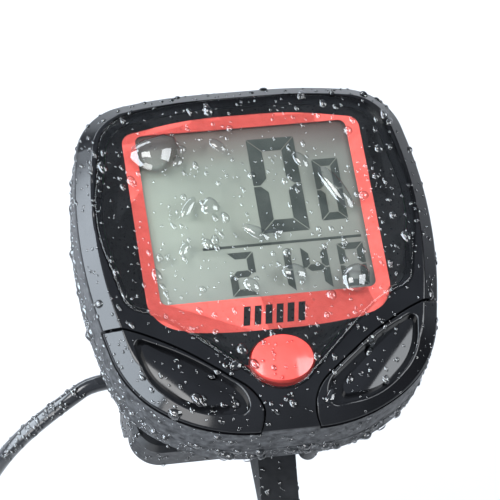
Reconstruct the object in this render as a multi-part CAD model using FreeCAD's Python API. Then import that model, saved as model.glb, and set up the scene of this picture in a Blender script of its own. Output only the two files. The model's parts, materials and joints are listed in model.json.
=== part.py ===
import FreeCAD, Part
import math
import os
from FreeCAD import Vector

# A wired cycling computer: a display head that slides onto a handlebar bracket, and the bracket's
# sensor lead. Millimetres. The handlebar's axis is the X axis, +Y points away from the rider and
# +Z out of the display's face. The origin is on the handlebar's axis under the bracket.

# ---------------------------------------------------------------- driving dimensions
BAR_RADIUS = 15.9            # oversized 31.8 mm handlebar
PAD_THICKNESS = 1.0
SADDLE_HALF_ANGLE = 60.0     # degrees each side of the top that the saddle covers
SADDLE_LENGTH = 38.0

# heights of the head's layers
REAR_FACE = 21.4
PARTING = 26.0               # where the rear cover meets the front cover
COVER_TOP = 35.2
GLASS_TOP = 35.4             # outer face of the window plate
BEVEL = 2.4                  # flat band round the front edge
WALL = 1.5
PARTING_GROOVE = 0.25
FLOOR = 1.6
BOARD_TOP = 28.8
BOARD_THICKNESS = 1.0
LENS_THICKNESS = 1.2
PRINT_THICKNESS = 0.2
LCD_TOP = 33.6
LCD_GLASS = 0.55
HOLDER_TOP = 33.2

# keys and button
KEY_GAP = 0.2
KEY_LIP = 0.3                # radii of the keys' outer edges and of their recesses' edges
RECESS_LIP = 0.25
KEY_TRAVEL = 0.7
KEY_SKIRT = COVER_TOP - BEVEL - 0.1       # lower edge of each key
KEY_DECK = KEY_SKIRT - KEY_TRAVEL - 0.05  # top of the deck below each key
KEY_WALL = 1.2
BAY_WALL = 1.0
BUTTON_CENTRE = (0.0, -18.0)
BUTTON_HALF = (4.5, 3.55)
KEY_PLUNGER = (13.5, -18.6)  # plunger of the right key; the left one is mirrored
PLUNGER_RADIUS = 1.5
PLUNGER_HOLE = 2.1
RECESS_DEPTH = 1.1
RIDGE_RADIUS = 6.0
SWITCH_HEIGHT = 0.5

# slide mount between head and bracket
PLATE_TOP = 20.4
TONGUE_Y = (-12.0, 6.0)
STEM_HALF = 8.0
FLANGE_HALF = 10.4
FLANGE_Z = (22.6, 23.4)
SLOT_ROOF = 23.6
ROOF_TOP = 24.8
RECESS_END = 25.2
LIP_TOP = 22.45
CONTACT_X = 6.0
CONTACT_Y = -16.5
CASE_SCREWS = ((22.4, 12.0), (22.4, -3.0), (-22.4, 12.0), (-22.4, -3.0))

# battery
CELL_CENTRE = (0.0, 15.0)
CELL_RADIUS = 5.8            # LR44 button cell, 11.6 x 5.4 mm
CELL_HEIGHT = 5.4
CELL_BOTTOM = 25.6
DOOR_RADIUS = 7.9
LUG_RADIUS = 9.2

# bracket
BASE_HALF = 21.0
BASE_REAR = -24.4
BASE_RIGHT_REAR = -19.0      # the right half ends further forward
BASE_REAR_BOTTOM = 14.8
TIE_X = 13.0
TIE_WIDTH = 4.6
TIE_THICKNESS = 1.0
TIE_RADIUS = 17.8            # inside of the tie where it crosses the saddle
LEVER_PIVOT = (-14.2, 17.8)  # y, z
LEVER_POCKET = (-6.3, 3.9)   # mouth of the lever's pocket, along x
LEVER_TOP = (-2.4, 3.3)      # sides of the lever's top face
LEVER_FLARE = (1.2, 0.25)    # how much further out its bottom face reaches on each side
LEVER_THICKNESS = 3.4
LEVER_GAP = 0.35
LEVER_BEND = -22.0           # where the tab starts to slope down
LEVER_SLOPE = 30.0
LEVER_TAB = 12.0             # length of the sloping tab
LEVER_THINNING = 0.6         # share of its thickness that the tab loses towards the tip
GUARD_SIDE = 6.7             # outer side of the lug beside the lever

# sensor lead
CABLE_RADIUS = 1.25
COIL_X = -45.5               # first turn
COIL_CENTRE = (-8.25, -38.0) # y, z
COIL_INNER_TURN = 13.75
COIL_OUTER_TURN = 16.25
COIL_TURNS_WIDE = 5
LEAD_ROUTE = [(-16.0, -10.6, 16.5), (-24.8, -10.6, 16.5), (-28.8, -12.6, 15.3), (-32.6, -14.1, 12.6),
              (-36.6, -15.9, 9.3), (-39.8, -17.6, 4.6), (-42.6, -19.4, -2.5), (-44.8, -21.2, -13.0),
              (-45.7, -22.0, -25.4), (-45.5, -22.0, -38.0)]
TAIL_ROUTE = [(-48.0, -24.5, -38.0), (-48.1, -24.4, -46.0), (-48.6, -24.0, -53.6),
              (-48.6, -24.0, -60.8)]
POD_TOP = -58.0
POD_LENGTH = 34.0
POD_HALF = (5.5, 7.0)        # along x and y
POD_WALL = 1.2

# ---------------------------------------------------------------- outlines
# Control corners of each symmetric outline, right half from the top down. Every corner is rounded
# by a tangent arc; a third value is the share of the half side that the arc takes.
CASE = [(11.0, 27.4), (23.7, 25.3), (26.5, 10.2), (26.3, -3.3), (22.8, -20.4), (11.0, -28.0)]
WINDOW = [(9.0, 25.1), (21.0, 23.0, 0.75), (23.8, 9.0), (23.8, 3.5), (21.3, -8.1, 0.7),
          (15.6, -10.0), (2.2, -22.7)]
BORDER = [(8.0, 22.5), (18.0, 20.6, 0.3), (18.0, -11.3, 0.9), (8.0, -12.8)]
SCREEN = [(16.0, 20.4, 0.08), (16.0, -7.5, 0.08)]
# right key: along the parting line from the side to the lower edge, then round outside the case
KEY = [(30.0, -9.2), (22.3, -10.6), (14.4, -14.7), (4.7, -22.4), (3.3, -26.6), (7.0, -31.0),
       (30.0, -31.0)]
RECESS = [(21.0, -12.2, 0.5), (13.8, -15.8), (6.0, -22.1), (5.6, -25.8, 0.8), (13.6, -24.6),
          (19.9, -19.0)]
RIDGE = [(20.2, -13.0, 0.5), (14.9, -16.6), (8.2, -22.4, 0.8), (8.0, -24.4, 0.8), (13.6, -23.8),
         (19.0, -18.8)]
RIDGE_LINE = ((20.2, -13.4), (9.0, -25.4))  # crest of the ridge


def mirrored(half):
    """Full ring of corners from the right half, top to bottom."""
    left = [(-corner[0],) + tuple(corner[1:]) for corner in reversed(half)]
    return list(half) + left


def rounded_wire(corners, z=0.0):
    """Closed flat wire whose corners are tangent arcs."""
    count = len(corners)
    points = [Vector(corner[0], corner[1], z) for corner in corners]
    starts, ends, arcs = [], [], []
    for index, corner in enumerate(corners):
        share = corner[2] if len(corner) > 2 else 0.98
        here = points[index]
        back = points[index - 1] - here
        ahead = points[(index + 1) % count] - here
        reach = share * min(back.Length, ahead.Length) / 2
        half_turn = (math.pi - back.getAngle(ahead)) / 2
        back.normalize()
        ahead.normalize()
        start, end = here + back * reach, here + ahead * reach
        radius = reach / math.tan(half_turn)
        inward = (back + ahead).normalize()
        middle = here + inward * (radius / math.cos(half_turn) - radius)
        starts.append(start)
        ends.append(end)
        arcs.append(Part.Arc(start, middle, end).toShape())
    edges = []
    for index in range(count):
        edges.append(arcs[index])
        following = starts[(index + 1) % count]
        if (following - ends[index]).Length > 1e-4:
            edges.append(Part.LineSegment(ends[index], following).toShape())
    return Part.Wire(edges)


def oval_wire(centre, half, z=0.0):
    ellipse = Part.Ellipse(Vector(centre[0], centre[1], z), half[0], half[1])
    return Part.Wire([ellipse.toShape()])


def grown(wire, distance):
    return wire.makeOffset2D(distance) if distance else wire


def prism(wire, low, high):
    face = Part.Face(wire)
    face.translate(Vector(0, 0, low - wire.BoundBox.ZMin))
    return face.extrude(Vector(0, 0, high - low))


def box(x, y, z):
    """Box from three (low, high) pairs."""
    return Part.makeBox(x[1] - x[0], y[1] - y[0], z[1] - z[0], Vector(x[0], y[0], z[0]))


def post(x, y, radius, low, high):
    return Part.makeCylinder(radius, high - low, Vector(x, y, low))


def rod_x(radius, low, high, y, z):
    return Part.makeCylinder(radius, high - low, Vector(low, y, z), Vector(1, 0, 0))


def edges_at(shape, height):
    """Edges that lie in the plane z = height."""
    flat = []
    for edge in shape.Edges:
        bound = edge.BoundBox
        if abs(bound.ZMin - height) < 1e-4 and abs(bound.ZMax - height) < 1e-4:
            flat.append(edge)
    return flat


def mirror_x(shape):
    return shape.mirror(Vector(0, 0, 0), Vector(1, 0, 0))


def export(name, shape):
    solids = shape.Solids
    result = solids[0] if len(solids) == 1 else Part.makeCompound(solids)
    state = "ok" if result.isValid() and solids else "BAD"
    print(f"{name:24s} {len(solids)} solid(s) {sum(s.Volume for s in solids):9.1f} mm3 {state}")
    result.exportStep(f"parts/{name}.step")


CASE_WIRE = rounded_wire(mirrored(CASE))
WINDOW_WIRE = rounded_wire(mirrored(WINDOW))
BORDER_WIRE = rounded_wire(mirrored(BORDER))
SCREEN_WIRE = rounded_wire(mirrored(SCREEN))
KEY_WIRE = rounded_wire(KEY)


# ---------------------------------------------------------------- head: covers
def head_body():
    """Outer form of the head above the parting line."""
    body = prism(CASE_WIRE, PARTING, COVER_TOP)
    body = body.makeChamfer(BEVEL, edges_at(body, COVER_TOP))
    body = body.makeFillet(0.5, edges_at(body, COVER_TOP))
    body = body.makeFillet(0.9, edges_at(body, COVER_TOP - BEVEL))
    return body.makeChamfer(PARTING_GROOVE, edges_at(body, PARTING))


def key_bay(growth, low):
    """Space of both key bays, grown by a margin."""
    right = prism(grown(KEY_WIRE, growth), low, COVER_TOP + 1)
    return right.fuse(mirror_x(right))


def front_cover():
    cavity = prism(grown(CASE_WIRE, -WALL), PARTING, COVER_TOP - WALL)
    deck_low = KEY_DECK - BAY_WALL
    cavity = cavity.cut(key_bay(KEY_GAP + BAY_WALL, deck_low))
    cover = head_body().cut(key_bay(KEY_GAP, KEY_DECK)).cut(cavity)
    bosses = []
    for x, y in CASE_SCREWS:
        inner, outer = sorted((x, math.copysign(25.2, x)))
        web = box((inner, outer), (y - 1.6, y + 1.6), (PARTING, COVER_TOP - BEVEL - 0.5))
        bosses.append(post(x, y, 2.2, PARTING, COVER_TOP - WALL).fuse(web))
    cover = cover.fuse(bosses)
    cover = cover.cut(prism(WINDOW_WIRE, GLASS_TOP - LENS_THICKNESS, COVER_TOP + 1))
    cover = cover.cut(prism(grown(WINDOW_WIRE, -1.2), COVER_TOP - 2 * WALL, COVER_TOP))
    cover = cover.cut(prism(grown(BORDER_WIRE, 0.2), COVER_TOP - 2 * WALL, COVER_TOP))
    cover = cover.cut(button_hole(COVER_TOP - 2 * WALL, COVER_TOP))
    for x, y in CASE_SCREWS:
        cover = cover.cut(post(x, y, 0.9, PARTING, 30.5))
    for side in (1, -1):
        cover = cover.cut(post(side * KEY_PLUNGER[0], KEY_PLUNGER[1], PLUNGER_HOLE, deck_low - 1, KEY_DECK))
    return cover.removeSplitter()


def rear_cover():
    body = prism(CASE_WIRE, REAR_FACE, PARTING)
    body = body.makeChamfer(1.4, edges_at(body, REAR_FACE))
    body = body.makeChamfer(PARTING_GROOVE, edges_at(body, PARTING))
    cavity = prism(grown(CASE_WIRE, -WALL), REAR_FACE + FLOOR, PARTING)
    slot_block = box((-13.0, 13.0), (-14.0, 27.0), (REAR_FACE, ROOF_TOP))
    battery_wall = post(*CELL_CENTRE, 10.4, ROOF_TOP, 27.4).cut(
        post(*CELL_CENTRE, 9.6, ROOF_TOP, 27.4))
    cover = body.cut(cavity.cut(slot_block)).fuse(battery_wall)
    for x, y in CASE_SCREWS:
        cover = cover.fuse(post(x, y, 2.2, REAR_FACE + 0.4, PARTING))
    # T-slot with lips, then the open recess that lets the tongue lift out
    slot_low, slot_high = TONGUE_Y[0] - 0.3, TONGUE_Y[1] + 0.3
    clear_flange = FLANGE_HALF + 0.3
    cover = cover.cut(box((-STEM_HALF - 0.3, STEM_HALF + 0.3), (slot_low, slot_high),
                          (REAR_FACE - 1, LIP_TOP)))
    cover = cover.cut(box((-clear_flange, clear_flange), (slot_low, slot_high), (LIP_TOP, SLOT_ROOF)))
    cover = cover.cut(box((-clear_flange, clear_flange), (slot_high, RECESS_END),
                          (REAR_FACE - 1, SLOT_ROOF)))
    # battery door opening with two lug notches across it
    cover = cover.cut(post(*CELL_CENTRE, DOOR_RADIUS + 0.08, SLOT_ROOF - 1, ROOF_TOP))
    notch = lug_ring(LUG_RADIUS + 0.2, SLOT_ROOF - 1, ROOF_TOP, 24.0)
    notch.rotate(Vector(*CELL_CENTRE, 0), Vector(0, 0, 1), 90)
    cover = cover.cut(notch)
    for x, y in CASE_SCREWS:
        cover = cover.cut(post(x, y, 0.95, REAR_FACE, PARTING))
        cover = cover.cut(post(x, y, 1.75, REAR_FACE - 1, REAR_FACE + 1.6))
    for side in (1, -1):
        cover = cover.cut(post(side * CONTACT_X, CONTACT_Y, 1.45, REAR_FACE - 1, REAR_FACE + FLOOR))
    nib_pocket = box((-2.6, 2.6), (-23.4, -20.8), (REAR_FACE - 1, REAR_FACE + 0.8))
    cover = cover.cut(nib_pocket).cut(gasket_ring())
    return cover.removeSplitter()


def gasket_ring():
    outer = prism(grown(CASE_WIRE, -0.45), PARTING - 0.6, PARTING)
    return outer.cut(prism(grown(CASE_WIRE, -1.05), PARTING - 0.6, PARTING))


def lug_ring(radius, low, high, half_angle):
    """Two opposite lugs beside the battery opening, on the line along x."""
    wedge = Part.makeCylinder(radius, high - low, Vector(*CELL_CENTRE, low), Vector(0, 0, 1),
                              2 * half_angle)
    wedge.rotate(Vector(*CELL_CENTRE, 0), Vector(0, 0, 1), -half_angle)
    other = wedge.copy()
    other.rotate(Vector(*CELL_CENTRE, 0), Vector(0, 0, 1), 180)
    return wedge.fuse(other)


def case_screws():
    screws = []
    for x, y in CASE_SCREWS:
        head = post(x, y, 1.6, REAR_FACE + 0.5, REAR_FACE + 1.6)
        head = head.cut(box((x - 1.2, x + 1.2), (y - 0.2, y + 0.2), (REAR_FACE, REAR_FACE + 1.0)))
        head = head.cut(box((x - 0.2, x + 0.2), (y - 1.2, y + 1.2), (REAR_FACE, REAR_FACE + 1.0)))
        screws.append(head.fuse(post(x, y, 0.85, REAR_FACE + 1.6, 30.0)))
    return Part.makeCompound([screw.removeSplitter() for screw in screws])


# ---------------------------------------------------------------- head: window and display
def button_hole(low, high):
    clearance = 0.3
    half = (BUTTON_HALF[0] + clearance, BUTTON_HALF[1] + clearance)
    return prism(oval_wire(BUTTON_CENTRE, half), low, high)


def window_lens():
    low = GLASS_TOP - LENS_THICKNESS
    lens = prism(grown(WINDOW_WIRE, -0.12), low, GLASS_TOP)
    lens = lens.makeFillet(0.45, edges_at(lens, GLASS_TOP))
    return lens.cut(button_hole(low, GLASS_TOP))


def print_layer(outer, inner):
    """Ink on the back of the window, down to the middle of the button."""
    high = GLASS_TOP - LENS_THICKNESS
    low = high - PRINT_THICKNESS
    ink = prism(outer, low, high).cut(prism(inner, low, high)).cut(button_hole(low, high))
    return ink.common(box((-30, 30), (BUTTON_CENTRE[1], 30), (low, high)))


def lcd_plate(lower_edge, low, high, half=17.6, upper_edge=22.2):
    return box((-half, half), (lower_edge, upper_edge), (low, high))


def lcd_holder():
    holder = box((-19.2, 19.2), (-11.6, 22.9), (BOARD_TOP, HOLDER_TOP))
    upright = [edge for edge in holder.Edges if edge.BoundBox.ZLength > 1]
    holder = holder.makeFillet(1.5, upright)
    glass_low = LCD_TOP - 2 * LCD_GLASS - PRINT_THICKNESS
    holder = holder.cut(box((-17.8, 17.8), (-11.2, 22.4), (glass_low, HOLDER_TOP)))
    holder = holder.cut(box((-16.4, 16.4), (-8.4, 21.0), (BOARD_TOP, HOLDER_TOP)))
    holder = holder.cut(box((-16.2, 16.2), (-11.1, -9.1), (BOARD_TOP, HOLDER_TOP)))
    return holder.cut(key_bay(KEY_GAP + BAY_WALL + 0.2, KEY_DECK - BAY_WALL - 0.3))


# ---------------------------------------------------------------- head: electronics
def circuit_board():
    low = BOARD_TOP - BOARD_THICKNESS
    board = prism(grown(CASE_WIRE, -2.3), low, BOARD_TOP)
    board = board.cut(post(*CELL_CENTRE, 6.6, low, BOARD_TOP))
    for x, y in CASE_SCREWS:
        inner, outer = sorted((x, math.copysign(25.5, x)))
        board = board.cut(post(x, y, 2.6, low, BOARD_TOP))
        board = board.cut(box((inner, outer), (y - 2.0, y + 2.0), (low, BOARD_TOP)))
    return board


def chip_blob():
    """Flattened dome of epoxy on the underside of the board."""
    height, radius = 1.3, 4.2
    sphere_radius = (radius ** 2 + height ** 2) / (2 * height)
    low = BOARD_TOP - BOARD_THICKNESS
    ball = Part.makeSphere(sphere_radius, Vector(-9.0, -7.0, low + sphere_radius - height))
    return ball.common(box((-14.0, -4.0), (-12.0, -2.0), (low - height, low)))


def small_parts():
    """Resistors and capacitors on the underside of the board."""
    high = BOARD_TOP - BOARD_THICKNESS
    places = [(4.0, -6.0), (7.0, -6.0), (4.0, -9.0), (-17.0, -6.0), (-17.0, -9.0), (17.0, 3.0)]
    return Part.makeCompound([box((x, x + 1.6), (y, y + 0.8), (high - 0.6, high)) for x, y in places])


def crystal():
    return Part.makeCylinder(1.0, 6.0, Vector(12.0, -12.0, BOARD_TOP - BOARD_THICKNESS - 1.0),
                             Vector(0, 1, 0))


def switch_places():
    return [KEY_PLUNGER, (-KEY_PLUNGER[0], KEY_PLUNGER[1]), BUTTON_CENTRE]


def dome_switches():
    domes = []
    for x, y in switch_places():
        cone = Part.makeCone(2.4, 1.4, SWITCH_HEIGHT, Vector(x, y, BOARD_TOP))
        domes.append(cone)
    return Part.makeCompound(domes)


def key_seals():
    """Rubber ring round each key's plunger, in its hole through the deck."""
    rings = []
    low = KEY_DECK - 0.8
    for x, y in switch_places()[:2]:
        ring = post(x, y, PLUNGER_HOLE, low, KEY_DECK)
        rings.append(ring.cut(post(x, y, PLUNGER_RADIUS + 0.1, low, KEY_DECK)))
    return Part.makeCompound(rings)


def battery_cell():
    can = post(*CELL_CENTRE, CELL_RADIUS, CELL_BOTTOM + 0.5, CELL_BOTTOM + CELL_HEIGHT)
    can = can.makeFillet(0.4, edges_at(can, CELL_BOTTOM + CELL_HEIGHT))
    return can.fuse(post(*CELL_CENTRE, CELL_RADIUS - 1.2, CELL_BOTTOM, CELL_BOTTOM + 0.5))


def top_contact():
    """Bent strip from the board over the top of the cell."""
    x, y = CELL_CENTRE
    top = CELL_BOTTOM + CELL_HEIGHT
    strip = box((x - 1.0, x + 8.2), (y - 1.5, y + 1.5), (top, top + 0.25))
    leg = box((x + 7.9, x + 8.2), (y - 1.5, y + 1.5), (BOARD_TOP, top))
    return strip.fuse(leg).removeSplitter()


def side_contact():
    """Bent strip on the board that touches the side of the cell."""
    x, y = CELL_CENTRE
    side = x - CELL_RADIUS
    leg = box((side - 0.25, side), (y - 1.2, y + 1.2), (BOARD_TOP - 1.6, BOARD_TOP + 1.4))
    foot = box((side - 2.6, side - 0.25), (y - 1.2, y + 1.2), (BOARD_TOP, BOARD_TOP + 0.25))
    return leg.fuse(foot).removeSplitter()


def head_contacts():
    buttons = []
    for side in (1, -1):
        pin = post(side * CONTACT_X, CONTACT_Y, 1.4, REAR_FACE, REAR_FACE + FLOOR)
        buttons.append(pin.fuse(post(side * CONTACT_X, CONTACT_Y, 2.0, REAR_FACE + FLOOR, 23.5)))
    return Part.makeCompound(buttons)


def contact_springs():
    springs = []
    for side in (1, -1):
        x = side * CONTACT_X
        high = BOARD_TOP - BOARD_THICKNESS
        springs.append(post(x, CONTACT_Y, 1.3, 23.5, high).cut(post(x, CONTACT_Y, 0.9, 23.5, high)))
    return Part.makeCompound(springs)


# ---------------------------------------------------------------- keys, button and battery door
def key_ridge():
    """Domed leaf that stands in a key's recess."""
    start, end = [Vector(x, y, COVER_TOP - 0.05 - RIDGE_RADIUS) for x, y in RIDGE_LINE]
    along = (end - start).normalize()
    dome = Part.makeCylinder(RIDGE_RADIUS, 24.0, start - along * 4, along)
    return prism(rounded_wire(RIDGE), COVER_TOP - RECESS_DEPTH - 0.1, COVER_TOP).common(dome)


def right_key():
    shell = head_body().common(prism(KEY_WIRE, KEY_SKIRT, COVER_TOP + 1))
    shell = shell.makeFillet(KEY_LIP, edges_at(shell, COVER_TOP))
    recess_wire = rounded_wire(RECESS, COVER_TOP)
    shell = shell.cut(prism(recess_wire, COVER_TOP - RECESS_DEPTH, COVER_TOP + 1))
    rim = [edge for edge in edges_at(shell, COVER_TOP) if edge.distToShape(recess_wire)[0] < 1e-4]
    shell = shell.makeFillet(RECESS_LIP, rim)
    inside_top = COVER_TOP - RECESS_DEPTH - 0.8
    inside = prism(grown(CASE_WIRE, -KEY_WALL - 0.8), KEY_SKIRT, inside_top)
    inside = inside.common(prism(grown(KEY_WIRE, -KEY_WALL), KEY_SKIRT, COVER_TOP))
    key = shell.cut(inside).fuse(key_ridge())
    plunger = post(*KEY_PLUNGER, PLUNGER_RADIUS, BOARD_TOP + SWITCH_HEIGHT + 0.8, inside_top + 0.2)
    return key.fuse(plunger).removeSplitter()


def centre_button():
    """Domed oval cap, a flange under the cover and a plunger."""
    low = GLASS_TOP - 1.8
    dome_height = 0.8
    radius = 15.0
    ball = Part.makeSphere(radius, Vector(*BUTTON_CENTRE, GLASS_TOP + dome_height - radius))
    cap = prism(oval_wire(BUTTON_CENTRE, BUTTON_HALF), low, GLASS_TOP + dome_height).common(ball)
    flange = prism(oval_wire(BUTTON_CENTRE, (5.3, 4.3)), low - 0.9, low)
    plunger = post(*BUTTON_CENTRE, PLUNGER_RADIUS, BOARD_TOP + SWITCH_HEIGHT + 0.8, low - 0.9)
    return cap.fuse([flange, plunger]).removeSplitter()


def battery_door():
    low = SLOT_ROOF + 0.1
    disc = post(*CELL_CENTRE, DOOR_RADIUS, low, ROOF_TOP)
    groove = seal_ring(DOOR_RADIUS + 0.1)
    x, y = CELL_CENTRE
    coin_slot = box((x - 4.5, x + 4.5), (y - 0.7, y + 0.7), (low, low + 0.5))
    boss = post(x, y, 6.9, ROOF_TOP, CELL_BOTTOM - 0.1)
    lugs = lug_ring(LUG_RADIUS, ROOF_TOP + 0.1, CELL_BOTTOM - 0.1, 20.0)
    return disc.cut(groove).cut(coin_slot).fuse([boss, lugs]).removeSplitter()


def seal_ring(outer):
    low = SLOT_ROOF + 0.45
    return post(*CELL_CENTRE, outer, low, low + 0.4).cut(post(*CELL_CENTRE, 7.2, low, low + 0.4))


# ---------------------------------------------------------------- bracket
def polar(radius, angle):
    """Point at an angle from +Z, towards +Y, in the plane across the handlebar."""
    turn = math.radians(angle)
    return Vector(0, radius * math.sin(turn), radius * math.cos(turn))


def mount_base():
    """Saddle, top plate and lever housing in one moulding, with the slide tongue on top."""
    pad_radius = BAR_RADIUS + PAD_THICKNESS
    leg_inner = polar(pad_radius, SADDLE_HALF_ANGLE)
    leg_outer = polar(pad_radius + 3.5, SADDLE_HALF_ANGLE)
    top_inner = polar(pad_radius, 0)
    corners = [Vector(0, -leg_inner.y, leg_inner.z), Vector(0, -leg_outer.y, leg_outer.z),
               Vector(0, -18.4, BASE_REAR_BOTTOM), Vector(0, BASE_REAR, BASE_REAR_BOTTOM),
               Vector(0, BASE_REAR, PLATE_TOP), Vector(0, 14.5, PLATE_TOP),
               Vector(0, 18.2, 15.5), leg_outer, leg_inner]
    outline = Part.makePolygon(corners).Edges
    arc = Part.Arc(leg_inner, top_inner, corners[0]).toShape()
    base = Part.Face(Part.Wire(outline + [arc])).extrude(Vector(2 * BASE_HALF, 0, 0))
    base.translate(Vector(-BASE_HALF, 0, 0))
    base = base.cut(box((LEVER_POCKET[1], BASE_HALF + 1), (BASE_REAR - 1, BASE_RIGHT_REAR), (0, 30)))
    for edge in base.Edges:
        bound = edge.BoundBox
        if bound.XMax < 1 - BASE_HALF and bound.YMax < BASE_REAR + 1 and bound.ZLength > 1:
            rear_corner = edge
    base = base.makeFillet(4.5, [rear_corner])
    base = base.makeChamfer(0.8, edges_at(base, PLATE_TOP))
    stem = box((-STEM_HALF, STEM_HALF), TONGUE_Y, (PLATE_TOP - 0.5, FLANGE_Z[0]))
    flange = box((-FLANGE_HALF, FLANGE_HALF), TONGUE_Y, FLANGE_Z)
    base = base.fuse([stem, flange, lever_guard()])
    for side in (1, -1):
        base = base.cut(tie_channel(side * TIE_X))
        base = base.cut(post(side * CONTACT_X, CONTACT_Y, 1.0, PLATE_TOP - 2.2, PLATE_TOP + 1))
    pocket_sides = (LEVER_TOP[0] - LEVER_FLARE[0] - LEVER_GAP, LEVER_TOP[1] + LEVER_FLARE[1] + LEVER_GAP)
    pocket = box(pocket_sides, (BASE_REAR - 1, -12.4), (12.5, PLATE_TOP + 1))
    mouth = box(LEVER_POCKET, (BASE_REAR - 1, BASE_RIGHT_REAR), (12.5, PLATE_TOP + 1))
    base = base.cut(pocket).cut(mouth).cut(rod_x(0.8, -6.5, 6.5, *LEVER_PIVOT))
    exit_x, exit_y, exit_z = LEAD_ROUTE[0]
    base = base.cut(rod_x(CABLE_RADIUS + 0.1, -BASE_HALF - 1, exit_x, exit_y, exit_z))
    base = base.cut(rod_x(1.9, -BASE_HALF - 1, -BASE_HALF + 1.5, exit_y, exit_z))
    return base.removeSplitter()


def lever_guard():
    """Rounded lug beside the lever."""
    x = (LEVER_POCKET[1] + GUARD_SIDE) / 2
    lug = box((LEVER_POCKET[1], GUARD_SIDE), (-24.7, BASE_RIGHT_REAR + 1), (15.0, 19.8))
    return lug.fuse(post(x, -24.7, GUARD_SIDE - x, 15.0, 19.8))


def tie_channel(x):
    half = TIE_WIDTH / 2 + 0.2
    ring = rod_x(TIE_RADIUS + TIE_THICKNESS + 0.15, x - half, x + half, 0, 0)
    return ring.cut(rod_x(TIE_RADIUS - 0.05, x - half, x + half, 0, 0))


def saddle_pad():
    """Rubber lining between the saddle and the handlebar."""
    radii = (BAR_RADIUS, BAR_RADIUS + PAD_THICKNESS)
    edges = []
    for radius in radii:
        points = [polar(radius, angle) for angle in (-SADDLE_HALF_ANGLE, 0, SADDLE_HALF_ANGLE)]
        edges.append(Part.Arc(*points).toShape())
    for angle in (-SADDLE_HALF_ANGLE, SADDLE_HALF_ANGLE):
        edges.append(Part.LineSegment(polar(radii[0], angle), polar(radii[1], angle)).toShape())
    pad = Part.Face(Part.Wire(Part.__sortEdges__(edges))).extrude(Vector(SADDLE_LENGTH, 0, 0))
    pad.translate(Vector(-SADDLE_LENGTH / 2, 0, 0))
    return pad


def tie_loop(growth):
    """Flat face inside a tie's loop: over the saddle, then round the underside of the handlebar."""
    upper, lower = TIE_RADIUS + growth, BAR_RADIUS + growth
    touch = SADDLE_HALF_ANGLE + math.degrees(math.acos(lower / upper))
    edges = [Part.Arc(*[polar(upper, a) for a in (-60, 0, 60)]).toShape(),
             Part.LineSegment(polar(upper, 60), polar(lower, touch)).toShape(),
             Part.Arc(polar(lower, touch), polar(lower, 180), polar(lower, -touch)).toShape(),
             Part.LineSegment(polar(lower, -touch), polar(upper, -60)).toShape()]
    return Part.Face(Part.Wire(edges))


def cable_tie(x):
    """Strap loop with its square head below the handlebar."""
    loop = tie_loop(TIE_THICKNESS).extrude(Vector(TIE_WIDTH, 0, 0))
    loop = loop.cut(tie_loop(0.0).extrude(Vector(TIE_WIDTH, 0, 0)))
    head = box((-0.9, TIE_WIDTH + 0.9), (-3.6, 3.6), (-BAR_RADIUS - 5.2, -BAR_RADIUS - 0.6))
    head = head.makeFillet(0.7, [edge for edge in head.Edges if edge.BoundBox.ZLength > 1])
    tie = loop.fuse(head.cut(rod_x(BAR_RADIUS, -2, TIE_WIDTH + 2, 0, 0)))
    tie.translate(Vector(x - TIE_WIDTH / 2, 0, 0))
    return tie.removeSplitter()


def lever_section(y, thickness, flare):
    """Outline across the lever: its top is at the pivot's height, its bottom reaches further out."""
    high = LEVER_PIVOT[1]
    low = high - thickness
    left, right = LEVER_TOP
    return Part.makePolygon([Vector(right, y, high), Vector(left, y, high),
                             Vector(left - flare[0], y, low), Vector(right + flare[1], y, low),
                             Vector(right, y, high)])


def release_lever():
    """Bent thumb tab with a hub on the pin and a nib that stands up behind the head."""
    pivot_y, pivot_z = LEVER_PIVOT
    root = lever_section(LEVER_BEND, LEVER_THICKNESS, LEVER_FLARE)
    end = lever_section(LEVER_BEND - LEVER_TAB, LEVER_THICKNESS * (1 - LEVER_THINNING), (0.1, 0.1))
    tab = Part.makeLoft([root, end], True, True)
    tip = [edge for edge in tab.Edges if edge.BoundBox.YMax < LEVER_BEND - LEVER_TAB + 0.1]
    tab = tab.makeFillet(0.5, tip)
    tab.rotate(Vector(0, LEVER_BEND, pivot_z), Vector(1, 0, 0), LEVER_SLOPE)
    arm = Part.Face(root).extrude(Vector(0, pivot_y - LEVER_BEND, 0))
    hub = rod_x(1.6, *LEVER_TOP, pivot_y, pivot_z)
    nib_top = REAR_FACE - 0.12
    nib_side = Part.makePolygon([Vector(-2.2, -21.9, pivot_z - 0.5), Vector(-2.2, -21.9, nib_top),
                                 Vector(-2.2, -20.9, nib_top), Vector(-2.2, -19.9, pivot_z - 0.5),
                                 Vector(-2.2, -21.9, pivot_z - 0.5)])
    nib = Part.Face(nib_side).extrude(Vector(4.4, 0, 0))
    lever = tab.fuse([arm, hub, nib]).cut(rod_x(0.85, -5, 5, pivot_y, pivot_z))
    return lever.removeSplitter()


def bracket_contacts():
    pins = []
    for side in (1, -1):
        pin = post(side * CONTACT_X, CONTACT_Y, 1.0, PLATE_TOP - 2.2, REAR_FACE - 0.08)
        pins.append(pin.makeFillet(0.4, edges_at(pin, REAR_FACE - 0.08)))
    return Part.makeCompound(pins)


# ---------------------------------------------------------------- sensor lead
def cable_boot():
    x, y, z = LEAD_ROUTE[0]
    root, tip = -BASE_HALF + 1.5, -BASE_HALF - 1.8
    plug = rod_x(1.85, -BASE_HALF, root, y, z)
    taper = Part.makeCone(2.3, 1.6, -BASE_HALF - tip, Vector(-BASE_HALF, y, z), Vector(-1, 0, 0))
    return plug.fuse(taper).cut(rod_x(CABLE_RADIUS + 0.05, tip - 1, root + 1, y, z)).removeSplitter()


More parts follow.
